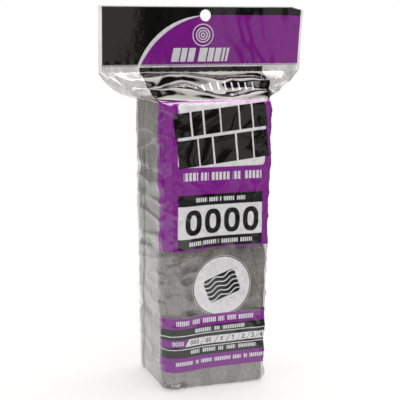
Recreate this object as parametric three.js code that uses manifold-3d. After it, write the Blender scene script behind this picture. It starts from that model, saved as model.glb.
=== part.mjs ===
// A retail pack of steel wool pads: a clear film bag, standing on its folded bottom, with a flat hang
// header on top and four rows of four pads inside. Millimetres, +Z up, origin under the middle of the
// base, front towards -Y.
import * as THREE from "three";
import { LoftGeometry } from "three/addons/geometries/LoftGeometry.js";
import { RoundedBoxGeometry } from "three/addons/geometries/RoundedBoxGeometry.js";
import { mergeVertices } from "three/addons/utils/BufferGeometryUtils.js";
import Module from "manifold-3d";

// Driving dimensions of the pads
const padRows = 4;
const padLayers = 4;
const padWidth = 75; // of a pad that nothing presses, as in the top row
const padHeight = 47.7;
const padThickness = 13.6;
const padEdgeRadius = 5.5;
const padGap = 0.35; // between neighbouring pads
const baseNarrowing = 7.6; // how much narrower the pack is pressed at its base than at its top

// Driving dimensions of the film bag
const filmThickness = 0.15;
const filmClearance = 0.4; // between the film and the pads
const topEdgeRadius = 3;
const rowWaist = 0.8; // how far the film draws in between two rows
const waistReach = 4; // the film lies flat again this far above and below a waist
const faceCrown = 1; // how far the front and back swell at mid-width
const waistCrown = 0.3; // share of that swelling left at a waist
const foldRidge = 0.6; // how far the lay-flat crease stands out along each side
const shoulderHeight = 17.4;
const sealShare = 0.96; // share of the shoulder above which the two plies are sealed together
const earSlack = 6.5; // film to spare in each ear
const headerHeight = 43;
const headerSetback = 3; // how far the header stands behind mid-depth
const hangHoleDiameter = 7.6;
const hangHoleDrop = 6; // from the header's top edge to the middle of the hole
const hangHoleOffset = 2; // from mid-width
const ventDiameter = 5;
const ventDrop = 24; // from the top of the pads to the middle of the vent in the back

// Facets of the round and swept stretches
const cornerSteps = 4;
const edgeSteps = 4;
const shoulderSteps = 8;
const holeSides = 24;
const padRoundSteps = 2;

// Sizes that follow from the driving dimensions
const rowPitch = padHeight + padGap;
const layerPitch = padThickness + padGap;
const stackFloor = filmThickness + filmClearance;
const stackTop = stackFloor + padRows * rowPitch - padGap;
const stackDepth = padLayers * layerPitch - padGap;
const halfDepth = stackDepth / 2 + stackFloor;
const wrapRadius = padEdgeRadius + stackFloor; // of the film round the pads' upright and lower edges
const headerBase = stackTop + shoulderHeight;
const headerTop = headerBase + headerHeight;
const leastRadius = 0.5; // of the base's outline at its corners
const punchLength = 20; // of the round punches, enough to pass right through a wall

const wasm = await Module();
wasm.setup();

// A geometry as a solid for joins and cuts.
function solidOf(geometry) {
  const bare = new THREE.BufferGeometry();
  bare.setAttribute("position", geometry.getAttribute("position"));
  bare.setIndex(geometry.index);
  const merged = mergeVertices(bare, 1e-4);
  const vertProperties = new Float32Array(merged.getAttribute("position").array);
  const triVerts = new Uint32Array(merged.index.array);
  return new wasm.Manifold(new wasm.Mesh({ numProp: 3, vertProperties, triVerts }));
}

// A solid as a geometry with flat facets.
function geometryOf(solid) {
  const { vertProperties, triVerts } = solid.getMesh();
  const indexed = new THREE.BufferGeometry();
  indexed.setAttribute("position", new THREE.BufferAttribute(vertProperties, 3));
  indexed.setIndex(new THREE.BufferAttribute(triVerts, 1));
  const faceted = indexed.toNonIndexed();
  faceted.computeVertexNormals();
  return faceted;
}

// Half the width between the film's side panels at a height, narrower towards the base.
function halfWidthAt(z) {
  const pressed = 1 - Math.min(z / stackTop, 1);
  return padWidth / 2 + stackFloor - (baseNarrowing / 2) * pressed;
}

// The levels of the bag from its base up. Each has a height, an inset from the panels' full size, a share
// of the front's crown, and a rise from 0 where the shoulder starts to 1 where the header starts.
function bagLevels() {
  const besideWaist = (1 + waistCrown) / 2;
  const levels = [];
  for (let i = 0; i <= edgeSteps; i += 1) {
    const angle = (i / edgeSteps) * (Math.PI / 2);
    const z = wrapRadius * (1 - Math.cos(angle));
    levels.push({ z, inset: wrapRadius * (1 - Math.sin(angle)), crown: waistCrown, rise: 0 });
  }
  for (let row = 0; row < padRows; row += 1) {
    const rowFloor = stackFloor + row * rowPitch;
    levels.push({ z: rowFloor + padHeight / 2, inset: 0, crown: 1, rise: 0 });
    if (row < padRows - 1) {
      const joint = rowFloor + padHeight + padGap / 2;
      levels.push({ z: joint - waistReach, inset: 0, crown: besideWaist, rise: 0 });
      levels.push({ z: joint, inset: rowWaist, crown: waistCrown, rise: 0 });
      levels.push({ z: joint + waistReach, inset: 0, crown: besideWaist, rise: 0 });
    }
  }
  for (let i = 0; i <= edgeSteps; i += 1) {
    const angle = (i / edgeSteps) * (Math.PI / 4);
    const z = stackTop - topEdgeRadius * (1 - Math.sin(angle) / Math.sin(Math.PI / 4));
    levels.push({ z, inset: topEdgeRadius * (1 - Math.cos(angle)), crown: waistCrown, rise: 0 });
  }
  for (let i = 1; i <= shoulderSteps; i += 1) {
    const rise = i / shoulderSteps;
    const inset = levels.at(-1).inset;
    levels.push({ z: stackTop + shoulderHeight * rise, inset, crown: 0, rise });
  }
  levels.push({ z: headerTop, inset: levels.at(-1).inset, crown: 0, rise: 1 });
  return levels;
}

// One closed section of the bag, anticlockwise from above, drawn in by a wall. As the front and back
// close up on each other towards the header, each half side panel keeps its length, so the panels open
// out into ears.
function bagSection({ z, inset, crown, rise }, wall) {
  const sidePanel = halfDepth - inset;
  const depth = Math.max(sidePanel * (1 - rise), filmThickness);
  const earReach = Math.sqrt(Math.max(sidePanel ** 2 - depth ** 2, 0)) + earSlack * rise;
  const ear = Math.max(earReach, foldRidge);
  const earWall = (wall * Math.hypot(ear, depth)) / depth;
  const x = halfWidthAt(z) - inset - wall;
  const y = depth - wall;
  const tip = halfWidthAt(z) - inset + ear - earWall;
  const tipDepth = Math.min(filmThickness, y);
  const radiusX = Math.max(wrapRadius - inset - wall, leastRadius);
  const radiusY = Math.min(radiusX, (y - tipDepth) / 2);
  const setback = headerSetback * rise;
  const swell = faceCrown * crown;

  // One quarter from the side fold to the middle of the front or back.
  const quarter = [new THREE.Vector2(tip, tipDepth)];
  for (let i = 0; i <= cornerSteps; i += 1) {
    const angle = (i / cornerSteps) * (Math.PI / 2);
    const across = x - radiusX * (1 - Math.cos(angle));
    quarter.push(new THREE.Vector2(across, y - radiusY * (1 - Math.sin(angle))));
  }
  quarter.push(new THREE.Vector2(x / 2, y + swell * (1 - 0.5 ** 2)));

  const place = (across, along) => new THREE.Vector3(across, along + setback, z);
  const backRight = quarter.map((p) => place(p.x, p.y));
  const backLeft = quarter.map((p) => place(-p.x, p.y)).reverse();
  const frontLeft = quarter.map((p) => place(-p.x, -p.y));
  const frontRight = quarter.map((p) => place(p.x, -p.y)).reverse();
  const backMiddle = place(0, y + swell);
  const frontMiddle = place(0, -y - swell);
  return [...backRight, backMiddle, ...backLeft, ...frontLeft, frontMiddle, ...frontRight];
}

// A round punch through the front and back, along Y.
function punch(diameter, x, y, z) {
  const geometry = new THREE.CylinderGeometry(diameter / 2, diameter / 2, punchLength, holeSides);
  return solidOf(geometry.translate(x, y, z));
}

// The bag: the outer skin lofted through its sections, less the room inside it, the hang hole and the vent.
function filmBag() {
  const levels = bagLevels();
  const capped = { capStart: true, capEnd: true };
  const outerSections = levels.map((level) => bagSection(level, 0));
  const roomLevels = levels.filter((level) => level.rise < sealShare);
  const roomSections = roomLevels.map((level) => {
    const floorLift = level.z < wrapRadius ? filmThickness * (1 - level.z / wrapRadius) : 0;
    return bagSection({ ...level, z: level.z + floorLift }, filmThickness);
  });
  const skin = solidOf(new LoftGeometry(outerSections, capped));
  const room = solidOf(new LoftGeometry(roomSections, capped));
  const hangHole = punch(hangHoleDiameter, hangHoleOffset, headerSetback, headerTop - hangHoleDrop);
  const vent = punch(ventDiameter, 0, halfDepth, stackTop - ventDrop);
  const bag = skin.subtract(room).subtract(hangHole).subtract(vent);
  const film = new THREE.MeshStandardMaterial({
    color: 0xdfe0e4,
    roughness: 0.12,
    metalness: 0,
    transparent: true,
    opacity: 0.3,
  });
  const mesh = new THREE.Mesh(geometryOf(bag), film);
  mesh.name = "film_bag";
  return mesh;
}

// A pad of one row, pressed to the bag's width at the height where its lower corners start to round off.
function woolPad(row, layer) {
  const rowFloor = stackFloor + row * rowPitch;
  const width = 2 * (halfWidthAt(rowFloor + padEdgeRadius) - stackFloor);
  const geometry = new RoundedBoxGeometry(width, padThickness, padHeight, padRoundSteps, padEdgeRadius);
  const wool = new THREE.MeshStandardMaterial({ color: 0x96918a, roughness: 0.6, metalness: 0.6 });
  const mesh = new THREE.Mesh(geometry, wool);
  mesh.name = `wool_pad_row${row + 1}_layer${layer + 1}`;
  mesh.position.set(0, (layer - (padLayers - 1) / 2) * layerPitch, rowFloor + padHeight / 2);
  return mesh;
}

const pack = new THREE.Group();
pack.name = "steel_wool_pack";
pack.add(filmBag());
for (let row = 0; row < padRows; row += 1) {
  for (let layer = 0; layer < padLayers; layer += 1) {
    pack.add(woolPad(row, layer));
  }
}

export default pack;
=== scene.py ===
import math

import bmesh
import bpy
from mathutils import Matrix, Vector, noise


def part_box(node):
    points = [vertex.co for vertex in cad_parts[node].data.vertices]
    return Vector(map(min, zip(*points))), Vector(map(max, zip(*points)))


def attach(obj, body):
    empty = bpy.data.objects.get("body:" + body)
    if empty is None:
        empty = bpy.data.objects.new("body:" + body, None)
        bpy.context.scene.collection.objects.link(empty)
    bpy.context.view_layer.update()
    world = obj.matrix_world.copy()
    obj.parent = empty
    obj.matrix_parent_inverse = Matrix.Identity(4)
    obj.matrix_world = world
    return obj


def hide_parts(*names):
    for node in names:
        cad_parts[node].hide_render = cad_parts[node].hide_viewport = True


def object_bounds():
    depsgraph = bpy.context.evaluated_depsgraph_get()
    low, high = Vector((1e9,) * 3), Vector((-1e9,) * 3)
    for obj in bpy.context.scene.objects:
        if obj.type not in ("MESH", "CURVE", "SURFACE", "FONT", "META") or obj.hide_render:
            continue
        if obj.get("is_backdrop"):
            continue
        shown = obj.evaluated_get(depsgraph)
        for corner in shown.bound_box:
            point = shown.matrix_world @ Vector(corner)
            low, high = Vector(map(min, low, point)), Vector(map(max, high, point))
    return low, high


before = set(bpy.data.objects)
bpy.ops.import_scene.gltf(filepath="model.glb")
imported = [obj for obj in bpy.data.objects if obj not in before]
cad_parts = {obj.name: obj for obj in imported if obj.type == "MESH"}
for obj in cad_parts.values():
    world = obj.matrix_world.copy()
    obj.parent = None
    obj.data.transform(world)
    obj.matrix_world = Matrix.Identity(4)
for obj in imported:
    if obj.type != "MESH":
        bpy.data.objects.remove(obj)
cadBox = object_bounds()
mm = 0.001
bagHigh = Vector(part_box("film_bag")[1])
padNodes = sorted(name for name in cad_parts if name.startswith("wool_pad"))
print("frame loaded:", len(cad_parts), "nodes")


# small helpers for node trees

def newMaterial(name):
    material = bpy.data.materials.new(name)
    material.use_nodes = True
    material.node_tree.nodes.clear()
    return material, material.node_tree


def addNode(tree, kind, **settings):
    node = tree.nodes.new(kind)
    for key, value in settings.items():
        setattr(node, key, value)
    return node


def feed(tree, socket, value):
    if isinstance(value, bpy.types.NodeSocket):
        tree.links.new(value, socket)
    else:
        socket.default_value = value


def calc(tree, operation, *values, clamp=False):
    node = addNode(tree, "ShaderNodeMath", operation=operation, use_clamp=clamp)
    for socket, value in zip(node.inputs, values):
        feed(tree, socket, value)
    return node.outputs[0]


def blendColour(tree, factor, under, over):
    node = addNode(tree, "ShaderNodeMix", data_type="RGBA")
    feed(tree, node.inputs[0], factor)
    feed(tree, node.inputs[6], under)
    feed(tree, node.inputs[7], over)
    return node.outputs[2]


def blendShader(tree, factor, under, over):
    node = addNode(tree, "ShaderNodeMixShader")
    feed(tree, node.inputs[0], factor)
    tree.links.new(under, node.inputs[1])
    tree.links.new(over, node.inputs[2])
    return node.outputs[0]


def objectCoords(tree, scale=(1, 1, 1), turn=(0, 0, 0)):
    where = addNode(tree, "ShaderNodeTexCoord").outputs["Object"]
    node = addNode(tree, "ShaderNodeMapping")
    tree.links.new(where, node.inputs[0])
    node.inputs["Scale"].default_value = scale
    node.inputs["Rotation"].default_value = turn
    return node.outputs[0]


def noiseField(tree, vector, scale, detail=3.0, roughness=0.5, distortion=0.0):
    node = addNode(tree, "ShaderNodeTexNoise")
    tree.links.new(vector, node.inputs["Vector"])
    node.inputs["Scale"].default_value = scale
    node.inputs["Detail"].default_value = detail
    node.inputs["Roughness"].default_value = roughness
    node.inputs["Distortion"].default_value = distortion
    return node.outputs[0]


# camera at the photograph's angle

cameraSet = {
    "yaw": math.radians(-19.9),
    "pitch": math.radians(10.23),
    "roll": math.radians(0.64),
    "aim": Vector((0, 0, 130 * mm)),
    "distance": 745.6 * mm,
    "focalPixels": 1100,
    "imagePixels": 400,
    "shiftPixels": (-2.1, -10.2),
}


def makeCamera():
    yaw, pitch, roll = cameraSet["yaw"], cameraSet["pitch"], cameraSet["roll"]
    back = Vector((math.sin(yaw) * math.cos(pitch), -math.cos(yaw) * math.cos(pitch), math.sin(pitch)))
    level = Vector((math.cos(yaw), math.sin(yaw), 0))
    right = level * math.cos(roll) + back.cross(level) * math.sin(roll)
    up = back.cross(right)
    data = bpy.data.cameras.new("photoCamera")
    data.sensor_width = 36
    data.lens = cameraSet["focalPixels"] * data.sensor_width / cameraSet["imagePixels"]
    data.shift_x = cameraSet["shiftPixels"][0] / cameraSet["imagePixels"]
    data.shift_y = cameraSet["shiftPixels"][1] / cameraSet["imagePixels"]
    camera = bpy.data.objects.new("photoCamera", data)
    turn = Matrix((right, up, back)).transposed().to_4x4()
    camera.matrix_world = Matrix.Translation(cameraSet["aim"] + back * cameraSet["distance"]) @ turn
    bpy.context.collection.objects.link(camera)
    bpy.context.scene.camera = camera


makeCamera()
print("camera set")


# the block of pads inside, in millimetres: what the film is drawn over and what the pads fill

block = {
    "top": 192.4,
    "topHalfWidth": 38.5,
    "baseHalfWidth": 35.4,
    "halfDepth": 28.3,
    "corner": 3.6,  # radius of the upright corners
    "softCorner": 7.5,  # of the front left one, which is pressed rounder
    "baseEdge": 2.6,
    "crown": 0.4,  # how far the front and back swell in the middle
    "rowPitch": 48.05,
    "jointDepth": 1.2,
    "jointReach": 3.4,
}


def smooth(low, high, value):
    t = min(max((value - low) / (high - low), 0), 1)
    return t * t * (3 - 2 * t)


def bell(distance, width):
    return math.exp(-((distance / width) ** 2))


def drift(x, y, seed):
    return noise.noise(Vector((x, y, seed)))


def halfWidthAt(z):
    low, high = block["baseHalfWidth"], block["topHalfWidth"]
    return low + (high - low) * min(max(z / block["top"], 0), 1)


def between(pair, share):
    return pair[0] + (pair[1] - pair[0]) * share


def jointAway(z):
    return min(abs(z - block["rowPitch"] * k) for k in (1, 2, 3))


def jointDent(z):
    return block["jointDepth"] * bell(jointAway(z), block["jointReach"])


def cornerRadius(x, y):
    return block["softCorner"] if x < 0 and y < 0 else block["corner"]


# film bag: one tube of film, wrapped round the pads, closed below by a folded seam and above by the header

film = {
    "columns": 284,
    "rows": {"base": 10, "edge": 6, "body": 176, "shoulder": 40, "header": 44},
    "headerFoot": 209.8,
    "headerTop": bagHigh.z / mm,
    "headerHalfWidth": bagHigh.x / mm,
    "ply": 0.15,
    "setback": 3.0,
    "topInset": 0.9,
    "earPull": {-1: 0.07, 1: 0.16},  # share by which the left and right ears hang slack
    "skew": 2.5,  # how far the print sits to the right of the middle on the front
    "brow": {"reach": 6, "rounds": 14},  # how the turn from the pads' front into the shoulder is eased
    "seamFrom": 0.94,  # the film lies smooth towards the seam up the middle of the back
    "weld": 0.02,
    "hole": {"x": 2.0, "drop": 6.0, "radius": 3.8, "behind": -20},
    "vent": {"x": 0, "z": 168.4, "radius": 2.5, "behind": 20},
}

# how the film stands off its smooth shape, in millimetres; a pair is for the front and for the sides
crease = {
    "slack": 0.3,  # how far the film stands off the pads on average
    "deepest": 0.0,  # the film stays outside the pads
    "sideFrom": (-3.5, -0.3),  # where the corners turn into the sides
    "jointShare": {"all": 0.5, "more": 0.7, "around": 13, "cornerLess": 0.6},  # of the dents between rows
    "swell": {"height": 0.6, "sideMore": 0.5, "around": (26, 66), "up": (34, 17), "lean": 90},
    "wrinkle": {"height": 0.7, "sharp": 2.4, "around": (21, 57), "up": 14, "lean": 60, "twist": (34, 74)},
    "wrinkleShare": {"all": 0.35, "corner": 0.4, "side": 0.5},
    "pucker": {"share": 0.5, "reach": 11, "sharp": 3.0, "around": 9, "up": 7, "lean": 40, "twist": 24},
    "footFlat": (0.2, 3),
    "layFlat": {"ridge": 0.9, "width": 0.7, "top": 6.0, "base": 17.0, "stray": 1.2},  # up each side
    "glints": {"ridge": 1.3, "width": 1.1, "strokes": (  # short sharp ridges on the front, in s and z
        ((-38.0, 192.5), (-25.0, 186.0)),
        ((-37.0, 189.0), (-28.0, 184.5)),
        ((-34.0, 2.6), (-20.0, 1.8)))},
    "tucks": (  # folds of the closed bottom, then slack film at a joint of the rows
        {"proud": 1.6, "s": -25.0, "width": 6.0, "z": 2.4, "height": 1.4},
        {"proud": 2.4, "s": 38.0, "width": 3.5, "z": 6.0, "height": 4.0},
        {"proud": 1.0, "s": -19.0, "width": 7.0, "z": 51.0, "height": 2.2},
        {"proud": 0.9, "s": 29.0, "width": 6.0, "z": 52.0, "height": 2.2}),
    "shoulder": {"folds": 2.1, "height": 2.0, "sway": 0.6, "lean": 240, "fan": 0.7, "fanSharp": 2.2},
    "ear": {"from": 40, "to": 56, "swell": 1.2, "streak": 1.1, "streakSharp": 2.4},
    "header": {"rightEnd": 45, "warp": 0.55, "ripple": 0.35, "flare": 2.0, "flatTo": 216},
    "bentCorner": {"slope": 0.3, "x": 62, "z": 244},  # at the top right
    "seal": {"depth": 0.8, "z": 212, "height": 2.6},  # puckers along the foot of the header
    "sag": {"drop": 1.6, "s": -26.0, "width": 13.0, "fade": (92, 150)},  # the print hangs lower here
}


def filmLevels():
    rows, edge, top = film["rows"], block["baseEdge"], block["top"]
    foot = film["headerFoot"]
    levels = []
    for i in range(rows["base"]):  # from the seam under the pack out to its edge
        levels.append({"z": 0, "inset": edge, "open": i / rows["base"], "rise": 0})
    for i in range(rows["edge"]):
        angle = math.pi / 2 * i / rows["edge"]
        inset = edge * (1 - math.sin(angle))
        levels.append({"z": edge * (1 - math.cos(angle)), "inset": inset, "open": 1, "rise": 0})
    for i in range(rows["body"]):
        z = edge + (top - edge) * i / rows["body"]
        levels.append({"z": z, "inset": film["topInset"] * smooth(top - 3, top, z), "open": 1, "rise": 0})
    for i in range(rows["shoulder"]):
        rise = i / rows["shoulder"]
        levels.append({"z": top + (foot - top) * rise, "inset": film["topInset"], "open": 1, "rise": rise})
    for i in range(rows["header"] + 1):
        z = foot + (film["headerTop"] - foot) * i / rows["header"]
        levels.append({"z": z, "inset": film["topInset"], "open": 1, "rise": 1})
    levels[-1]["open"] = 0  # the two plies meet along the top edge
    return levels


# a point of one section: share runs from the middle of the front or back (0) to the side fold (1)
def sectionPoint(level, share, radius, pull):
    width = halfWidthAt(level["z"]) - level["inset"]
    panel = block["halfDepth"] - level["inset"]
    depth = max(panel * (1 - level["rise"]), film["ply"]) * level["open"]
    spare = film["headerHalfWidth"] - block["topHalfWidth"] - block["halfDepth"] + 2 * film["topInset"]
    reach = math.sqrt(max(panel ** 2 - (panel * (1 - level["rise"])) ** 2, 0)) + spare * level["rise"]
    cornerShare = block["topHalfWidth"] / (block["topHalfWidth"] + block["halfDepth"])
    corner = Vector((width, depth))
    reach *= 1 - pull * math.sin(math.pi * level["rise"])
    fold = Vector((width + max(reach, 0.1), 0))
    side = (fold - corner).length
    bend = min(radius, depth * 0.9, side * 0.45) if level["rise"] < 1 else 0
    before = cornerShare * (1 - bend / width)
    after = cornerShare + (1 - cornerShare) * bend / side
    if share <= before:
        return Vector((width * share / cornerShare, depth))
    if share >= after:
        return corner.lerp(fold, (share - cornerShare) / (1 - cornerShare))
    start = Vector((width * before / cornerShare, depth))
    end = corner.lerp(fold, (after - cornerShare) / (1 - cornerShare))
    t = (share - before) / (after - before)
    return start.lerp(corner, t).lerp(corner.lerp(end, t), t)


# where the film lies before it creases; around runs from -1 to 1 with 0 in the middle of the front
def filmPlace(level, around):
    turn = abs(around) * 2
    front = turn <= 1
    sign = 1 if around >= 0 else -1
    radius = cornerRadius(sign, -1 if front else 1)
    spot = sectionPoint(level, turn if front else 2 - turn, radius, film["earPull"][sign])
    y = -spot.y if front else spot.y
    return Vector((sign * spot.x, y + film["setback"] * level["rise"], level["z"]))


def strokeAway(spot, start, end):
    along, off = Vector(end) - Vector(start), Vector(spot) - Vector(start)
    share = min(max(off.dot(along) / along.length_squared, 0), 1)
    return (off - along * share).length


# a sharp ridge where a drifting value passes through zero
def ridgeAt(value, sharp):
    return max(1 - sharp * abs(value), 0) ** 3


# wrinkles and swellings of the film over the pads; s runs around from the middle of the front
def slackFilm(s, z, side, corner):
    swell, wrinkle, pucker = crease["swell"], crease["wrinkle"], crease["pucker"]
    broad = drift(s / between(swell["around"], side) + z / swell["lean"], z / between(swell["up"], side), 4)
    long = drift(s / between(wrinkle["around"], side) + z / wrinkle["lean"],
                 z / wrinkle["up"] - s / between(wrinkle["twist"], side), 9)
    fine = drift(s / pucker["around"] - z / pucker["lean"], z / pucker["up"] + s / pucker["twist"], 17)
    share = crease["wrinkleShare"]
    ridges = share["all"] + share["corner"] * corner + share["side"] * side
    ridges *= ridgeAt(long, wrinkle["sharp"])
    ridges += pucker["share"] * corner * ridgeAt(fine, pucker["sharp"])  # the corners pucker
    swollen = crease["slack"] + swell["height"] * (1 + swell["sideMore"] * side) * broad
    return max(swollen + wrinkle["height"] * ridges, crease["deepest"])


# how far the film stands off the pads at a place on the body
def bodyCrease(place, s, z, seam):
    slack, joint = crease["slack"], crease["jointShare"]
    side = smooth(*crease["sideFrom"], abs(place.x) - halfWidthAt(z))
    corner = bell(abs(s) - halfWidthAt(z), crease["pucker"]["reach"])
    uneven = joint["all"] + joint["more"] * drift(s / joint["around"], round(z / block["rowPitch"]) * 7.3, 1)
    dent = jointDent(z) * min(max(uneven, 0), 1) * (1 - joint["cornerLess"] * corner)
    off = slack + (slackFilm(s, z, side, corner) - dent - slack) * seam
    off += block["crown"] * max(1 - (place.x / block["topHalfWidth"]) ** 2, 0)
    for tuck in crease["tucks"]:
        off += tuck["proud"] * bell(s - tuck["s"], tuck["width"]) * bell(z - tuck["z"], tuck["height"])
    glints = crease["glints"]
    for start, end in glints["strokes"]:
        off += glints["ridge"] * bell(strokeAway((s, z), start, end), glints["width"])
    if side > 0:
        flat = crease["layFlat"]
        line = between((flat["base"], flat["top"]), z / block["top"]) + flat["stray"] * drift(z / 25, 0, 21)
        off += flat["ridge"] * bell(place.y - line, flat["width"])
    return off * smooth(*crease["footFlat"], z)


# long folds that run across the shoulder and fan out from the pads' top corners
def shoulderCrease(s, rise):
    shoulder, ear = crease["shoulder"], crease["ear"]
    swell = math.sin(math.pi * rise) ** 0.8
    onEar = smooth(ear["from"], ear["to"], abs(s))
    phase = rise * shoulder["folds"] + shoulder["sway"] * drift(s / 34, rise * 1.6, 3) + s / shoulder["lean"]
    fold = 1 - 2 * smooth(0, 1, abs(2 * (phase % 1) - 1))
    fan = 1 - shoulder["fanSharp"] * abs(drift(s / 17 - rise * 1.5, rise * 2.2 + s / 30, 6))
    streak = 1 - ear["streakSharp"] * abs(drift(s / 8 + rise * 2.5, rise * 1.4, 14))
    soft = ear["swell"] * drift(s / 22, rise * 2.4, 8) + ear["streak"] * max(streak, 0)
    return swell * between((shoulder["height"] * fold + shoulder["fan"] * fan, soft), onEar)


# how the flat header is warped, most towards its right end
def headerCrease(x, z):
    header, bent, seal = crease["header"], crease["bentCorner"], crease["seal"]
    foot, top = film["headerFoot"], film["headerTop"]
    right = smooth(0, header["rightEnd"], x)
    warp = header["warp"] * (0.5 + right) * drift(x / 34, z / 26, 12)
    ripple = header["ripple"] * right * drift(x / 10 + z / 30, z / 13, 15)
    pucker = seal["depth"] * drift(x / 3.4, z / 15, 19) * bell(z - seal["z"], seal["height"])
    flare = header["flare"] * right * (z - foot) / (top - foot)
    drop = bent["slope"] * max(x - bent["x"], 0) * smooth(bent["z"], top, z)
    return Vector((flare, (warp + ripple) * smooth(foot, header["flatTo"], z) + pucker, -drop))


# a round hole through every ply that lies behind a depth, with a clean rim
def punchFilm(bm, x, z, radius, behind):
    rimReach = radius * 1.8

    def away(spot):
        return math.hypot(spot.x - x, spot.z - z)
    middles = [(face, face.calc_center_median()) for face in bm.faces]
    cut = [face for face, middle in middles if middle.y > behind and away(middle) < radius]
    bmesh.ops.delete(bm, geom=cut, context="FACES")
    rim = [edge for edge in bm.edges if edge.is_boundary and away(edge.verts[0].co) < rimReach]
    for vert in {vert for edge in rim for vert in edge.verts}:
        scale = radius / away(vert.co)
        vert.co.x = x + (vert.co.x - x) * scale
        vert.co.z = z + (vert.co.z - z) * scale
    return rim


# the film's points, laid smoothly over the pads, each with its column around and its row up the film
def layFilm(bm, levels):
    columns, brow = film["columns"], film["brow"]
    bmesh.ops.create_grid(bm, x_segments=columns, y_segments=len(levels) - 1, size=1, calc_uvs=True)
    grid = {}
    for vert in bm.verts:
        column = round((vert.co.x + 1) / 2 * columns)
        row = round((vert.co.y + 1) / 2 * (len(levels) - 1))
        grid[vert] = (column, row)
    for vert, (column, row) in grid.items():
        vert.co = filmPlace(levels[row], 2 * column / columns - 1)
    turn = [vert for vert, (_, row) in grid.items() if abs(levels[row]["z"] - block["top"]) < brow["reach"]]
    for _ in range(brow["rounds"]):
        bmesh.ops.smooth_vert(bm, verts=turn, factor=0.5, use_axis_x=False, use_axis_y=True, use_axis_z=True)
    return grid


# how far each point of each row lies from the middle of the front, along the film
def lengthsAround(grid, rows):
    columns, middle = film["columns"], film["columns"] // 2
    table = [[None] * (columns + 1) for _ in range(rows)]
    for vert, (column, row) in grid.items():
        table[row][column] = vert.co
    lengths = []
    for line in table:
        along = [0] * (columns + 1)
        for step, stretch in ((1, range(middle + 1, columns + 1)), (-1, range(middle - 1, -1, -1))):
            for column in stretch:
                along[column] = along[column - step] + step * (line[column] - line[column - step]).length
        lengths.append(along)
    return lengths


def creaseFilm(grid, levels, lengths):
    moves = {}
    for vert, (column, row) in grid.items():
        s, z, rise = lengths[row][column], vert.co.z, levels[row]["rise"]
        seam = smooth(1, film["seamFrom"], abs(2 * column / film["columns"] - 1))
        if rise == 0:
            moves[vert] = vert.normal * bodyCrease(vert.co, s, z, seam)
        elif rise < 1:
            moves[vert] = vert.normal * shoulderCrease(s, rise) * seam
        else:
            moves[vert] = headerCrease(vert.co.x, z)
    for vert, move in moves.items():
        vert.co += move


# each point's place on the flat film, for the print
def unrollFilm(bm, flat, grid, levels, lengths):
    sag = crease["sag"]
    for face in bm.faces:
        for loop in face.loops:
            column, row = grid[loop.vert]
            z, rise = levels[row]["z"], levels[row]["rise"]
            s = lengths[row][column] - film["skew"] * (1 - rise)
            hang = sag["drop"] * (1 - smooth(*sag["fade"], z)) * bell(s - sag["s"], sag["width"])
            loop[flat].uv = (s / 100, (z + hang) / 100)


def makeFilm():
    levels = filmLevels()
    bm = bmesh.new()
    flat = bm.loops.layers.uv.new("flatFilm")
    grid = layFilm(bm, levels)
    lengths = lengthsAround(grid, len(levels))
    bm.normal_update()
    creaseFilm(grid, levels, lengths)
    unrollFilm(bm, flat, grid, levels, lengths)
    bmesh.ops.remove_doubles(bm, verts=bm.verts, dist=film["weld"])
    bmesh.ops.dissolve_degenerate(bm, edges=bm.edges, dist=film["weld"] / 20)
    hole, vent = film["hole"], film["vent"]
    rim = punchFilm(bm, hole["x"], film["headerTop"] - hole["drop"], hole["radius"], hole["behind"])
    bmesh.ops.bridge_loops(bm, edges=rim)
    punchFilm(bm, vent["x"], vent["z"], vent["radius"], vent["behind"])
    bmesh.ops.recalc_face_normals(bm, faces=bm.faces)
    bmesh.ops.scale(bm, vec=(mm, mm, mm), verts=bm.verts)
    return bm


def finishPiece(bm, name):
    mesh = bpy.data.meshes.new(name)
    bm.to_mesh(mesh)
    bm.free()
    for polygon in mesh.polygons:
        polygon.use_smooth = True
    piece = bpy.data.objects.new(name, mesh)
    bpy.context.collection.objects.link(piece)
    return piece


bag = finishPiece(makeFilm(), "filmBag")
print("film laid:", len(bag.data.vertices), "points")


# print on the film, in millimetres on the flat film: s across from the middle of the front, z up

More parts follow.
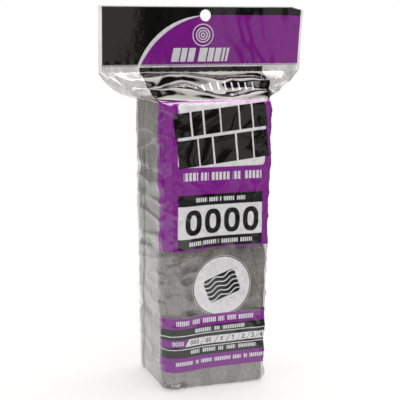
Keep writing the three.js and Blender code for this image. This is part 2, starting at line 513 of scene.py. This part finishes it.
ink = {
    "purple": (0.2, 0.0115, 0.236, 1),
    "black": (0.004, 0.004, 0.004, 1),
    "white": (0.68, 0.68, 0.695, 1),
    "softEdge": 0.22,
    "header": {"low": (-68.6, 213.7), "high": (69.4, 260)},
    "headerTopStrip": 247.0,
    "arc": {"middle": (1.8, 197.2), "radius": 49.5},
    "innerArc": {"middle": (9.9, 189.1), "radius": 58.3},
    "emblem": {"middle": (0.5, 233.9), "rings": ((7.4, 6.8), (5.0, 4.25), (3.3, 2.55), (1.6, 0.85))},
    "headerBars": {"z": (216.4, 225.4), "slant": 0.2, "from": -22.0, "gap": 1.0, "groups": (
        (5.2, 4.0, 4.6),
        (5.4, 4.0, 4.0, 1.7, 1.7))},
    "perforation": {"z": (213.9, 214.7), "pitch": 1.15},
    "shoulder": {"low": (-43.6, 193.5), "high": (43.6, 212.9)},
    "ticks": {"z": (199.6, 202.4), "from": -26.0, "step": 5.0, "count": 12, "wide": 1.1},
    "panel": {"low": (-43.6, 96.3), "high": (46.0, 193.5)},
    "titleBox": {"low": (-29.7, 150.2), "high": (30.8, 191.8), "corner": 2.6},
    "title": {"middle": (0.4, 171.0), "turn": 0.105, "gap": 1.2, "rows": (
        {"z": (1.8, 17.6), "slabs": (11.0, 7.4, 10.2, 12.0, 8.0, 9.4)},
        {"z": (-18.2, -0.2), "slabs": (13.6, 9.0, 15.0, 10.4, 9.6)})},
    "panelLine": {"z": (141.6, 146.8), "from": -25.5, "gap": 2.2, "letter": 2.6,
                  "words": (9.6, 5.2, 12.4, 6.0, 12.0)},
    "gradeBox": {"low": (-29.4, 97.4), "high": (29.6, 132.6)},
    "gradeField": {"low": (-29.4, 104.4), "high": (29.6, 125.4)},
    "gradeZeros": {"z": 114.6, "from": -25.3, "pitch": 13.4, "count": 4,
                   "half": (5.6, 8.2), "open": (2.2, 4.9)},
    "gradeLines": (
        {"z": (127.7, 130.5), "from": -17.5, "gap": 1.3, "letter": 1.5, "words": (8.0, 6.4, 1.0, 8.0, 6.4)},
        {"z": (99.4, 102.2), "from": -21.5, "gap": 1.3, "letter": 1.5, "words": (8.0, 9.4, 1.0, 12.0, 8.4)}),
    "disc": {"middle": (1.8, 70.2), "radius": 20.7, "ring": (20.35, 19.7)},
    "padSign": {"half": (11.5, 8.2), "corner": 2.4, "turn": 0.35, "pitch": 3.2},
    "band": {"low": (-43.6, 14.2), "high": (46.0, 51.4)},
    "bandBlack": {"low": (-43.6, 24.0), "high": (46.0, 44.0)},
    "bandLines": (39.0, 29.8),
    "bandLine": 0.55,
    "scale": {"z": (31.4, 36.4), "from": -22.2, "slant": 0.55, "zeroFrom": -32.7, "zeroPitch": 2.1,
              "zeroGroups": ((-32.7, -24.3), (-20.1, -13.8), (-9.6, -5.4), (0.9, 3.0)),
              "dividers": (-11.7, -1.8, 6.6, 14.2, 21.4, 27.8), "figures": (10.4, 17.8, 24.6, 30.9)},
    "bandText": (
        {"z": (46.0, 49.2), "from": -30.0, "gap": 1.9, "letter": 1.35,
         "words": (9.4, 5.4, 9.0, 4.4, 6.6, 10.4)},
        {"z": (40.2, 42.8), "from": -17.0, "gap": 2.2, "letter": 1.35, "words": (11.2, 4.0, 16.0)},
        {"z": (26.0, 28.6), "from": -20.0, "gap": 2.0, "letter": 1.35, "words": (6.4, 9.0, 4.0, 6.4, 13.0)},
        {"z": (18.6, 21.2), "from": -30.0, "gap": 1.6, "letter": 1.35,
         "words": (12.0, 2.4, 7.4, 12.0, 6.0, 3.0, 11.0)}),
    "letterShare": 0.68,
}


# the places s and z on the flat film, and masks of plain shapes on it
class FlatPrint:
    def __init__(self, tree):
        self.tree = tree
        where = addNode(tree, "ShaderNodeUVMap", uv_map="flatFilm").outputs[0]
        self.where = self.vector("SCALE", where, scale=100)
        split = addNode(tree, "ShaderNodeSeparateXYZ")
        tree.links.new(self.where, split.inputs[0])
        self.s, self.z = split.outputs[0], split.outputs[1]
        self.colour = ink["white"]
        self.cover = 0.0

    def calc(self, operation, *values, clamp=False):
        return calc(self.tree, operation, *values, clamp=clamp)

    def vector(self, operation, *values, scale=None):
        node = addNode(self.tree, "ShaderNodeVectorMath", operation=operation)
        for socket, value in zip(node.inputs, values):
            feed(self.tree, socket, value)
        if scale is not None:
            feed(self.tree, node.inputs["Scale"], scale)
        return node.outputs["Value" if operation in ("DISTANCE", "DOT_PRODUCT") else "Vector"]

    def within(self, away, reach):
        soft = ink["softEdge"]
        return self.calc("MULTIPLY_ADD", away, -1 / soft, 0.5 + reach / soft, clamp=True)

    def strip(self, value, low, high):
        off = self.calc("ABSOLUTE", self.calc("SUBTRACT", value, (low + high) / 2))
        return self.within(off, (high - low) / 2)

    def box(self, low, high, corner=0.0, s=None, z=None):
        s, z = s or self.s, z or self.z
        if not corner:
            return self.calc("MULTIPLY", self.strip(s, low[0], high[0]), self.strip(z, low[1], high[1]))
        offS = self.calc("ABSOLUTE", self.calc("SUBTRACT", s, (low[0] + high[0]) / 2))
        offZ = self.calc("ABSOLUTE", self.calc("SUBTRACT", z, (low[1] + high[1]) / 2))
        outS = self.calc("MAXIMUM", self.calc("SUBTRACT", offS, (high[0] - low[0]) / 2 - corner), 0.0)
        outZ = self.calc("MAXIMUM", self.calc("SUBTRACT", offZ, (high[1] - low[1]) / 2 - corner), 0.0)
        squares = self.calc("MULTIPLY_ADD", outS, outS, self.calc("MULTIPLY", outZ, outZ))
        return self.within(self.calc("SQRT", squares), corner)

    def disc(self, middle, radius):
        return self.within(self.vector("DISTANCE", self.where, (*middle, 0)), radius)

    def ring(self, middle, outside, inside):
        away = self.vector("DISTANCE", self.where, (*middle, 0))
        return self.strip(away, inside, outside)

    def slanted(self, slant, base):
        return self.calc("MULTIPLY_ADD", self.calc("SUBTRACT", self.z, base), -slant, self.s)

    def stroke(self, start, end, half):
        span = Vector((*end, 0)) - Vector((*start, 0))
        off = self.vector("SUBTRACT", self.where, (*start, 0))
        share = self.calc("ADD", self.vector("DOT_PRODUCT", off, span / span.length_squared), 0.0, clamp=True)
        return self.within(self.vector("DISTANCE", off, self.vector("SCALE", span, scale=share)), half)

    # the flat film's places, centred on a point and turned
    def turned(self, middle, turn):
        node = addNode(self.tree, "ShaderNodeMapping", vector_type="TEXTURE")
        self.tree.links.new(self.where, node.inputs[0])
        node.inputs["Location"].default_value = (*middle, 0)
        node.inputs["Rotation"].default_value = (0, 0, turn)
        split = addNode(self.tree, "ShaderNodeSeparateXYZ")
        self.tree.links.new(node.outputs[0], split.inputs[0])
        return split.outputs[0], split.outputs[1]

    # starts and ends of a row of lengths, centred on zero
    def spansOf(self, lengths, gap):
        place = -(sum(lengths) + gap * (len(lengths) - 1)) / 2
        spans = []
        for length in lengths:
            spans.append((place, place + length))
            place += length + gap
        return spans

    # several stretches along one direction, each given as its start and end
    def stretches(self, value, spans):
        low, high = spans[0][0] - 1, spans[-1][1] + 1
        share = self.calc("MULTIPLY_ADD", value, 1 / (high - low), -low / (high - low), clamp=True)
        stops = [(0.0, 0)]
        for start, end in spans:
            stops += [((start - low) / (high - low), 1), ((end - low) / (high - low), 0)]
        node = addNode(self.tree, "ShaderNodeValToRGB")
        node.color_ramp.interpolation = "CONSTANT"
        self.tree.links.new(share, node.inputs[0])
        elements = node.color_ramp.elements
        elements.remove(elements[1])
        for position, level in stops:
            element = elements[0] if position == 0 else elements.new(position)
            element.color = (level, level, level, 1)
        return node.outputs[0]

    # one oval figure, repeated along a line
    def zeros(self, first, pitch, middle, half, gap):
        local = self.calc("FLOORED_MODULO", self.calc("SUBTRACT", self.s, first), pitch)
        offS = self.calc("ABSOLUTE", self.calc("SUBTRACT", local, pitch / 2))
        offZ = self.calc("ABSOLUTE", self.calc("SUBTRACT", self.z, middle))
        masks = []
        for size in (half, gap):
            shares = [self.calc("DIVIDE", off, part) for off, part in zip((offS, offZ), size)]
            parts = [self.calc("POWER", share, 2.5) for share in shares]
            reach = self.calc("SUBTRACT", 1.0, self.calc("ADD", *parts))
            masks.append(self.calc("MULTIPLY_ADD", reach, size[0] / 0.5, 0.5, clamp=True))
        return self.without(*masks)

    def both(self, *masks):
        joined = masks[0]
        for mask in masks[1:]:
            joined = self.calc("MULTIPLY", joined, mask)
        return joined

    def either(self, *masks):
        joined = masks[0]
        for mask in masks[1:]:
            joined = self.calc("MAXIMUM", joined, mask)
        return joined

    def without(self, a, b):
        return self.calc("MULTIPLY", a, self.calc("SUBTRACT", 1.0, b))

    def stripes(self, value, pitch, share):
        return self.within(self.calc("PINGPONG", value, pitch / 2), pitch * share / 2)

    def lay(self, mask, name):
        self.colour = blendColour(self.tree, mask, self.colour, ink[name])
        self.cover = self.calc("MAXIMUM", mask, self.cover)

    # a line of small blocks in groups, where the pack has words
    def wordLine(self, line, name):
        place = line["from"]
        spans = []
        for length in line["words"]:
            spans.append((place, place + length))
            place += length + line["gap"]
        row = self.both(self.stretches(self.s, spans), self.strip(self.z, *line["z"]))
        self.lay(self.both(row, self.stripes(self.s, line["letter"], ink["letterShare"])), name)


def drawHeader(flat):
    header = flat.box(ink["header"]["low"], ink["header"]["high"])
    arc, inner = ink["arc"], ink["innerArc"]
    leftHalf = flat.calc("LESS_THAN", flat.s, arc["middle"][0])
    outerArc = flat.both(flat.disc(arc["middle"], arc["radius"]), leftHalf)
    rightHalf = flat.without(flat.strip(flat.z, 200, ink["headerTopStrip"]), leftHalf)
    flat.lay(header, "black")
    flat.lay(flat.both(flat.either(outerArc, rightHalf), header), "purple")
    flat.lay(flat.both(flat.without(outerArc, flat.disc(inner["middle"], inner["radius"])), header), "white")
    emblem = ink["emblem"]
    flat.lay(flat.either(*[flat.ring(emblem["middle"], *ring) for ring in emblem["rings"]]), "white")
    bars = ink["headerBars"]
    place = bars["from"]
    spans = []
    for group in bars["groups"]:
        for wide in group:
            spans.append((place, place + wide))
            place += wide + bars["gap"]
        place += 2 * bars["gap"]
    row = flat.strip(flat.z, *bars["z"])
    flat.lay(flat.both(row, flat.stretches(flat.slanted(bars["slant"], bars["z"][0]), spans)), "white")
    dots = flat.both(flat.box((-70, ink["perforation"]["z"][0]), (70, ink["perforation"]["z"][1])),
                     flat.stripes(flat.s, ink["perforation"]["pitch"], 0.5))
    flat.lay(dots, "white")


def drawPanel(flat):
    flat.lay(flat.box(ink["shoulder"]["low"], ink["shoulder"]["high"]), "black")
    ticks = ink["ticks"]
    places = [ticks["from"] + i * ticks["step"] for i in range(ticks["count"])]
    marks = flat.stretches(flat.s, [(place, place + ticks["wide"]) for place in places])
    flat.lay(flat.both(marks, flat.strip(flat.z, *ticks["z"])), "white")
    flat.lay(flat.box(ink["panel"]["low"], ink["panel"]["high"]), "purple")
    title = ink["titleBox"]
    flat.lay(flat.box(title["low"], title["high"], title["corner"]), "white")
    across, up = flat.turned(ink["title"]["middle"], ink["title"]["turn"])
    for row in ink["title"]["rows"]:
        spans = flat.spansOf(row["slabs"], ink["title"]["gap"])
        flat.lay(flat.both(flat.stretches(across, spans), flat.strip(up, *row["z"])), "black")
    flat.wordLine(ink["panelLine"], "white")
    flat.lay(flat.box(ink["gradeBox"]["low"], ink["gradeBox"]["high"]), "black")
    field = flat.box(ink["gradeField"]["low"], ink["gradeField"]["high"])
    flat.lay(field, "white")
    zeros = ink["gradeZeros"]
    row = flat.zeros(zeros["from"], zeros["pitch"], zeros["z"], zeros["half"], zeros["open"])
    span = flat.strip(flat.s, zeros["from"], zeros["from"] + zeros["pitch"] * zeros["count"])
    flat.lay(flat.both(row, span), "black")
    for line in ink["gradeLines"]:
        flat.wordLine(line, "white")


def drawDisc(flat):
    disc, sign = ink["disc"], ink["padSign"]
    flat.lay(flat.disc(disc["middle"], disc["radius"]), "white")
    flat.lay(flat.ring(disc["middle"], *disc["ring"]), "black")
    # a plain pad with strands across it
    across, up = flat.turned(disc["middle"], sign["turn"])
    half = sign["half"]
    pad = flat.box((-half[0], -half[1]), half, sign["corner"], s=across, z=up)
    wave = flat.calc("MULTIPLY_ADD", flat.calc("SINE", flat.calc("MULTIPLY", across, 0.55)), 0.9, up)
    flat.lay(flat.without(pad, flat.stripes(wave, sign["pitch"], 0.24)), "black")


def drawBand(flat):
    flat.lay(flat.box(ink["band"]["low"], ink["band"]["high"]), "purple")
    flat.lay(flat.box(ink["bandBlack"]["low"], ink["bandBlack"]["high"]), "black")
    left, right = ink["band"]["low"][0], ink["band"]["high"][0]
    half = ink["bandLine"] / 2
    flat.lay(flat.either(*[flat.box((left, z - half), (right, z + half)) for z in ink["bandLines"]]), "white")
    drawScale(flat, left, right)
    for line in ink["bandText"]:
        flat.wordLine(line, "white")


# the grades from 0000 to 4, parted by slanted strokes
def drawScale(flat, left, right):
    scale = ink["scale"]
    low, high = scale["z"]
    middle = (low + high) / 2
    row = flat.strip(flat.z, low, high)
    lean = flat.slanted(scale["slant"], middle)
    flat.lay(flat.both(row, flat.strip(flat.s, left, right)), "purple")
    flat.lay(flat.both(row, flat.strip(lean, scale["from"], right)), "white")
    zeros = flat.zeros(scale["zeroFrom"], scale["zeroPitch"], middle, (0.86, 1.5), (0.38, 0.95))
    flat.lay(flat.both(zeros, flat.strip(flat.s, *scale["zeroGroups"][0])), "white")
    flat.lay(flat.both(zeros, flat.stretches(flat.s, scale["zeroGroups"][1:])), "black")
    dividers = flat.stretches(lean, [(s - 0.22, s + 0.22) for s in scale["dividers"]])
    one, two, three, four = scale["figures"]
    foot, head = middle - 1.4, middle + 1.4
    strokes = [
        ((one, foot), (one, head)), ((one - 0.7, head - 0.6), (one, head)),
        ((two - 0.8, head - 0.5), (two, head)), ((two, head), (two + 0.8, head - 0.7)),
        ((two + 0.8, head - 0.7), (two - 0.8, foot)), ((two - 0.8, foot), (two + 0.9, foot)),
        ((three - 0.8, head), (three + 0.7, head)), ((three + 0.7, head), (three, middle + 0.2)),
        ((three, middle + 0.2), (three + 0.8, middle - 0.6)),
        ((three + 0.8, middle - 0.6), (three + 0.1, foot)), ((three + 0.1, foot), (three - 0.9, foot + 0.2)),
        ((four + 0.3, foot), (four + 0.3, head)), ((four + 0.3, head), (four - 0.9, middle - 0.5)),
        ((four - 0.9, middle - 0.5), (four + 0.9, middle - 0.5)),
    ]
    figures = [flat.stroke(start, end, 0.27) for start, end in strokes]
    flat.lay(flat.either(flat.both(dividers, row), *figures), "black")


# how the film and its print shine
filmFinish = {
    "crinkle": {"scale": 210, "stretch": (1, 1, 1.6), "strength": 0.1, "height": 0.5 * mm},
    "dull": {"scale": 45, "least": 0.03, "more": 0.12},
    "density": {"scale": 320, "least": 0.75, "more": 0.5},  # of the ink
    "inkGloss": 0.25,
    "coatRoughness": 0.06,
    "sheen": {"least": 0.11, "more": 0.88, "power": 5.0},  # mirroring, head on and towards grazing
    "cloud": {"scale": 95, "stretch": (1, 1, 0.4), "gain": 3.2, "shift": -1.1},
    "cloudy": (0.665, 0.66, 0.655, 1),
    "clear": (0.86, 0.855, 0.85, 1),
}


def inkedShader(tree, flat, dull, normal):
    density = filmFinish["density"]
    grain = noiseField(tree, objectCoords(tree), density["scale"], 2)
    tone = addNode(tree, "ShaderNodeVectorMath", operation="SCALE")
    tree.links.new(flat.colour, tone.inputs[0])
    feed(tree, tone.inputs["Scale"], calc(tree, "MULTIPLY_ADD", grain, density["more"], density["least"]))
    printed = addNode(tree, "ShaderNodeBsdfPrincipled")
    tree.links.new(tone.outputs[0], printed.inputs["Base Color"])
    tree.links.new(dull, printed.inputs["Roughness"])
    tree.links.new(normal, printed.inputs["Normal"])
    tree.links.new(normal, printed.inputs["Coat Normal"])
    printed.inputs["Specular IOR Level"].default_value = filmFinish["inkGloss"]
    printed.inputs["Coat Weight"].default_value = 1  # the film over the ink
    printed.inputs["Coat Roughness"].default_value = filmFinish["coatRoughness"]
    return printed.outputs[0]


def bareShader(tree, dull, normal):
    sheen, cloud = filmFinish["sheen"], filmFinish["cloud"]
    facing = addNode(tree, "ShaderNodeLayerWeight")
    facing.inputs["Blend"].default_value = 0.5
    tree.links.new(normal, facing.inputs["Normal"])
    grazing = calc(tree, "POWER", facing.outputs["Facing"], sheen["power"])
    mirrored = calc(tree, "MULTIPLY_ADD", grazing, sheen["more"], sheen["least"])
    field = noiseField(tree, objectCoords(tree, cloud["stretch"]), cloud["scale"], 4, 0.6, 0.8)
    patches = calc(tree, "MULTIPLY_ADD", field, cloud["gain"], cloud["shift"], clamp=True)
    clear = addNode(tree, "ShaderNodeBsdfTransparent")
    tint = blendColour(tree, patches, filmFinish["cloudy"], filmFinish["clear"])
    tree.links.new(tint, clear.inputs[0])
    gloss = addNode(tree, "ShaderNodeBsdfGlossy")
    gloss.inputs["Color"].default_value = (1, 1, 1, 1)
    tree.links.new(dull, gloss.inputs["Roughness"])
    tree.links.new(normal, gloss.inputs["Normal"])
    return blendShader(tree, mirrored, clear.outputs[0], gloss.outputs[0])


def printedFilm():
    material, tree = newMaterial("printedFilm")
    flat = FlatPrint(tree)
    drawHeader(flat)
    drawPanel(flat)
    drawDisc(flat)
    drawBand(flat)

    # fine crinkles and dull patches in the film
    crinkle, scuff = filmFinish["crinkle"], filmFinish["dull"]
    bump = addNode(tree, "ShaderNodeBump")
    bump.inputs["Strength"].default_value = crinkle["strength"]
    bump.inputs["Distance"].default_value = crinkle["height"]
    field = noiseField(tree, objectCoords(tree, crinkle["stretch"]), crinkle["scale"], 3, 0.5, 0.5)
    tree.links.new(field, bump.inputs["Height"])
    patches = noiseField(tree, objectCoords(tree), scuff["scale"], 4, 0.6)
    dull = calc(tree, "MULTIPLY_ADD", patches, scuff["more"], scuff["least"])

    bare = bareShader(tree, dull, bump.outputs[0])
    printed = inkedShader(tree, flat, dull, bump.outputs[0])
    out = addNode(tree, "ShaderNodeOutputMaterial")
    tree.links.new(blendShader(tree, flat.cover, bare, printed), out.inputs[0])
    print("print drawn:", len(tree.nodes), "nodes")
    return material


bag.data.materials.append(printedFilm())
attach(bag, "root")
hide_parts("film_bag")


# steel wool pads, each pressed into its share of the block

wool = {
    "clearance": 0.15,  # to the film, in millimetres
    "grow": (3.5, 0.2, 0.1),  # pads fill the width and press on each other
    "edge": 0.4,
    "nick": {"depth": 7.0, "reach": 4.2, "wide": 8},  # dents in the front, in places between two rows
    "topEase": {"inset": 1.5, "from": 4},  # how the top edge is eased
    "outerMore": 2.0,  # by which the outer layers reach for the film
    "cuts": 30,
    "lumps": ({"height": 0.55, "wide": 8, "sink": 0.4}, {"height": 0.22, "wide": 1.7, "sink": 0.4}),
}


# how deep the front of the pads is dented at a point
def nickAt(spot):
    nick = wool["nick"]
    place = drift(spot.x / nick["wide"], round(spot.z / block["rowPitch"]) * 3.7, 31)
    return nick["depth"] * max(place, 0) * bell(jointAway(spot.z), nick["reach"]) if spot.y < 0 else 0


# draws a point of a pad in to what the film leaves room for
def pressIn(spot):
    gap, edge = wool["clearance"], block["baseEdge"]
    dent = jointDent(spot.z) + gap
    low = max(edge - spot.z, 0)
    base = edge - math.sqrt(max(edge ** 2 - low ** 2, 0))
    ease = wool["topEase"]
    top = ease["inset"] * smooth(block["top"] - ease["from"], block["top"], spot.z)
    wide = halfWidthAt(spot.z) - dent - base - top
    crown = block["crown"] * max(1 - (spot.x / block["topHalfWidth"]) ** 2, 0)
    deep = block["halfDepth"] + crown - dent - base - top - nickAt(spot)
    radius = cornerRadius(spot.x, spot.y) - gap
    x, y = min(abs(spot.x), wide), min(abs(spot.y), deep)
    out = Vector((x - wide + radius, y - deep + radius))
    if out.x > 0 and out.y > 0 and out.length > radius:
        out *= radius / out.length
        x, y = wide - radius + out.x, deep - radius + out.y
    return Vector((math.copysign(x, spot.x), math.copysign(y, spot.y), max(spot.z, gap)))


def makePad(node):
    low, high = (Vector(corner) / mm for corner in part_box(node))
    middle, half = (low + high) / 2, (high - low) / 2
    half += Vector(wool["grow"])
    half.y += wool["outerMore"] if abs(middle.y) > half.y * 2 else 0
    bm = bmesh.new()
    bmesh.ops.create_cube(bm, size=2)
    bmesh.ops.subdivide_edges(bm, edges=bm.edges, cuts=wool["cuts"], use_grid_fill=True)
    edge = wool["edge"]
    for vert in bm.verts:
        spot = Vector(a * b for a, b in zip(vert.co, half))
        core = Vector(min(max(v, edge - h), h - edge) for v, h in zip(spot, half))
        out = (spot - core).normalized()
        spot = middle + core + out * edge
        lump = 0
        for part in wool["lumps"]:
            lump += part["height"] * (noise.noise(spot / part["wide"]) - part["sink"])
        vert.co = (pressIn(spot) + out * lump) * mm
    return finishPiece(bm, node.replace("wool_pad", "woolPad"))


# fibres of the wool: upright and level strands, clumps of them and clouds of tone
fibre = {
    "upright": {"scale": 1500, "stretch": (1, 1, 0.22), "turn": (0.1, 0.2, 0), "share": 0.6},
    "level": {"scale": 1300, "stretch": (0.25, 0.25, 1), "turn": (0.2, -0.3, 0), "share": 0.4},
    "strandShare": 0.66,
    "clump": {"scale": 420, "stretch": (1, 1, 0.6), "share": 0.22},
    "cloud": {"scale": 55, "stretch": (1, 1, 0.7), "share": 0.12},
    "gain": 3.2,
    "shift": -1.1,
    "dark": (0.15, 0.14, 0.128, 1),
    "bright": (0.57, 0.538, 0.5, 1),
    "rust": {"scale": 900, "above": 0.66, "share": 0.25, "colour": (0.42, 0.28, 0.2, 1)},
    "bump": {"strength": 0.6, "height": 0.4 * mm},
}


def strandField(tree, strand):
    where = objectCoords(tree, strand["stretch"], strand["turn"])
    return calc(tree, "MULTIPLY", noiseField(tree, where, strand["scale"], 3, 0.6, 0.4), strand["share"])


def steelWool():
    material, tree = newMaterial("steelWool")
    strands = calc(tree, "ADD", strandField(tree, fibre["upright"]), strandField(tree, fibre["level"]))
    clump, cloud, rust = fibre["clump"], fibre["cloud"], fibre["rust"]
    clumps = noiseField(tree, objectCoords(tree, clump["stretch"]), clump["scale"], 4, 0.6)
    clouds = noiseField(tree, objectCoords(tree, cloud["stretch"]), cloud["scale"], 3)
    tone = calc(tree, "MULTIPLY", clouds, cloud["share"])
    tone = calc(tree, "MULTIPLY_ADD", strands, fibre["strandShare"], tone)
    tone = calc(tree, "MULTIPLY_ADD", clumps, clump["share"], tone)
    shade = calc(tree, "MULTIPLY_ADD", tone, fibre["gain"], fibre["shift"], clamp=True)
    colour = blendColour(tree, shade, fibre["dark"], fibre["bright"])
    flecks = calc(tree, "GREATER_THAN", noiseField(tree, objectCoords(tree), rust["scale"], 2), rust["above"])
    colour = blendColour(tree, calc(tree, "MULTIPLY", flecks, rust["share"]), colour, rust["colour"])
    bump = addNode(tree, "ShaderNodeBump")
    bump.inputs["Strength"].default_value = fibre["bump"]["strength"]
    bump.inputs["Distance"].default_value = fibre["bump"]["height"]
    tree.links.new(tone, bump.inputs["Height"])
    shader = addNode(tree, "ShaderNodeBsdfPrincipled")
    tree.links.new(colour, shader.inputs["Base Color"])
    tree.links.new(bump.outputs[0], shader.inputs["Normal"])
    shader.inputs["Metallic"].default_value = 0.3
    shader.inputs["Roughness"].default_value = 0.55
    out = addNode(tree, "ShaderNodeOutputMaterial")
    tree.links.new(shader.outputs[0], out.inputs[0])
    return material


woolFinish = steelWool()
for node in padNodes:
    pad = makePad(node)
    pad.data.materials.append(woolFinish)
    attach(pad, "root")
    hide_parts(node)
print("pads made:", len(padNodes))


# a white table in a dark room, with soft boxes and two pale screens in front

studio = {
    "tableWide": 4.0,
    "tableFront": 0.64,
    "tableBack": 3.0,
    "paint": 0.7,
    "shadowReach": (0.08, 0.4),  # the table is pure white beyond this
    "shadowGlow": 0.5,
    "mirrorReach": (0.25, 1.0),  # the table's mirror image falls off between these
    "nearTable": 1.2,
    "farTable": 0.4,
    "mirrorEdge": (0.06, 0.105),  # and is dim to the right of these
    "dimTable": 0.25,
    "screen": 0.5,
    "screenGap": (16.0, 21.2),  # degrees to the right of straight ahead
    "roomDark": 0.02,
    "overhead": 3.5,  # a pale ceiling above the top box
    "gapSoft": 0.6,
    "screenFront": (-0.6, -0.4),  # these four are shares of the mirrored direction, where a tone ends
    "screenTop": (0.3, 0.5),
    "backFrom": (0.1, 0.4),
    "ceilingFrom": (0.84, 0.9),
    "roomTint": (1, 0.94, 0.88, 1),
    "fill": 0.42,
    "lamps": {
        "topBox": {"place": (0.2, 0.2, 1.35), "aim": (0, 0, 0.15), "size": (1.5, 1.4), "radiance": 4.2,
                   "tint": (1.0, 0.95, 0.915)},
        "leftBox": {"place": (-1.6, -0.6, 0.9), "aim": (0, 0, 0.12), "size": (0.9, 0.9), "radiance": 2.6},
        "frontBox": {"place": (0.2, -2.2, 1.9), "aim": (0, 0, 0.12), "size": (1.6, 1.0), "radiance": 2.6},
    },
}


def fade(tree, value, start, end, first, last):
    node = addNode(tree, "ShaderNodeMapRange", interpolation_type="SMOOTHSTEP")
    tree.links.new(value, node.inputs["Value"])
    node.inputs["From Min"].default_value, node.inputs["From Max"].default_value = start, end
    node.inputs["To Min"].default_value, node.inputs["To Max"].default_value = first, last
    return node.outputs[0]


def makeFloor():
    bm = bmesh.new()
    bmesh.ops.create_grid(bm, x_segments=1, y_segments=1, size=0.5)
    deep = studio["tableFront"] + studio["tableBack"]
    bmesh.ops.scale(bm, vec=(studio["tableWide"], deep, 1), verts=bm.verts)
    bmesh.ops.translate(bm, vec=(0, deep / 2 - studio["tableFront"], 0), verts=bm.verts)
    mesh = bpy.data.meshes.new("floor")
    bm.to_mesh(mesh)
    bm.free()
    floor = bpy.data.objects.new("floor", mesh)
    bpy.context.collection.objects.link(floor)
    material, tree = newMaterial("paleFloor")
    path = addNode(tree, "ShaderNodeLightPath")
    away = addNode(tree, "ShaderNodeVectorMath", operation="LENGTH")
    where = objectCoords(tree)
    tree.links.new(where, away.inputs[0])
    distance = away.outputs["Value"]
    split = addNode(tree, "ShaderNodeSeparateXYZ")
    tree.links.new(where, split.inputs[0])
    seen = calc(tree, "MAXIMUM", path.outputs["Is Camera Ray"], path.outputs["Is Transmission Ray"])
    glowing = fade(tree, distance, *studio["shadowReach"], studio["shadowGlow"], 1)
    white = calc(tree, "MULTIPLY", seen, glowing)
    paint = addNode(tree, "ShaderNodeBsdfDiffuse")
    paint.inputs[0].default_value = (studio["paint"], studio["paint"], studio["paint"], 1)
    glow = addNode(tree, "ShaderNodeEmission")
    mirror = addNode(tree, "ShaderNodeEmission")
    far = fade(tree, distance, *studio["mirrorReach"], studio["nearTable"], studio["farTable"])
    dim = fade(tree, split.outputs[0], *studio["mirrorEdge"], 1, studio["dimTable"])
    tree.links.new(calc(tree, "MULTIPLY", far, dim), mirror.inputs["Strength"])
    plain = blendShader(tree, white, paint.outputs[0], glow.outputs[0])
    out = addNode(tree, "ShaderNodeOutputMaterial")
    tree.links.new(blendShader(tree, path.outputs["Is Glossy Ray"], plain, mirror.outputs[0]), out.inputs[0])
    mesh.materials.append(material)
    floor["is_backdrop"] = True


def makeLamp(name, place, aim, size, radiance, tint=(1, 1, 1)):
    data = bpy.data.lights.new(name, "AREA")
    data.shape = "RECTANGLE"
    data.size, data.size_y = size
    data.energy = radiance * math.pi * size[0] * size[1]
    data.color = tint
    lamp = bpy.data.objects.new(name, data)
    lamp.location = place
    lamp.rotation_euler = (Vector(aim) - Vector(place)).to_track_quat("-Z", "Y").to_euler()
    bpy.context.collection.objects.link(lamp)


# the camera sees white; the film mirrors a dark room with two pale screens in front, parted by a gap
def makeWorld():
    world = bpy.data.worlds.new("studio")
    bpy.context.scene.world = world
    world.use_nodes = True
    tree = world.node_tree
    tree.nodes.clear()
    path = addNode(tree, "ShaderNodeLightPath")
    where = addNode(tree, "ShaderNodeTexCoord").outputs["Generated"]
    split = addNode(tree, "ShaderNodeSeparateXYZ")
    tree.links.new(where, split.inputs[0])
    x, y, z = split.outputs
    turn = calc(tree, "DEGREES", calc(tree, "ARCTAN2", x, calc(tree, "MULTIPLY", y, -1.0)))
    (left, right), soft = studio["screenGap"], studio["gapSoft"]
    opening = fade(tree, turn, left, left + soft, 0, 1)
    gap = calc(tree, "MULTIPLY", opening, fade(tree, turn, right - soft, right, 1, 0))
    low = fade(tree, z, *studio["screenTop"], 1, 0)
    front = calc(tree, "MULTIPLY", fade(tree, y, *studio["screenFront"], 1, 0), low)
    screens = calc(tree, "MULTIPLY", front, calc(tree, "SUBTRACT", 1.0, gap))
    behind = calc(tree, "MULTIPLY", fade(tree, y, *studio["backFrom"], 0, studio["farTable"]), low)
    pale = calc(tree, "MULTIPLY_ADD", screens, studio["screen"], behind)
    ceiling = fade(tree, z, *studio["ceilingFrom"], studio["roomDark"], studio["overhead"])
    room = calc(tree, "ADD", pale, ceiling)
    mirrored = addNode(tree, "ShaderNodeBackground")
    tree.links.new(room, mirrored.inputs["Strength"])
    fill = addNode(tree, "ShaderNodeBackground")
    fill.inputs["Strength"].default_value = studio["fill"]
    white = addNode(tree, "ShaderNodeBackground")
    plain = (1, 1, 1, 1)
    for node, tint in ((mirrored, studio["roomTint"]), (fill, plain), (white, plain)):
        node.inputs["Color"].default_value = tint
    seen = calc(tree, "MAXIMUM", path.outputs["Is Camera Ray"], path.outputs["Is Transmission Ray"])
    light = blendShader(tree, path.outputs["Is Glossy Ray"], fill.outputs[0], mirrored.outputs[0])
    out = addNode(tree, "ShaderNodeOutputWorld")
    tree.links.new(blendShader(tree, seen, light, white.outputs[0]), out.inputs[0])


makeFloor()
for lampName, lampSet in studio["lamps"].items():
    makeLamp(lampName, **lampSet)
makeWorld()
bpy.context.scene.view_settings.view_transform = "Standard"
print("studio lit")

boxes = {"cad": cadBox, "visual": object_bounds()}
{name: [list(corner) for corner in box] for name, box in boxes.items()}
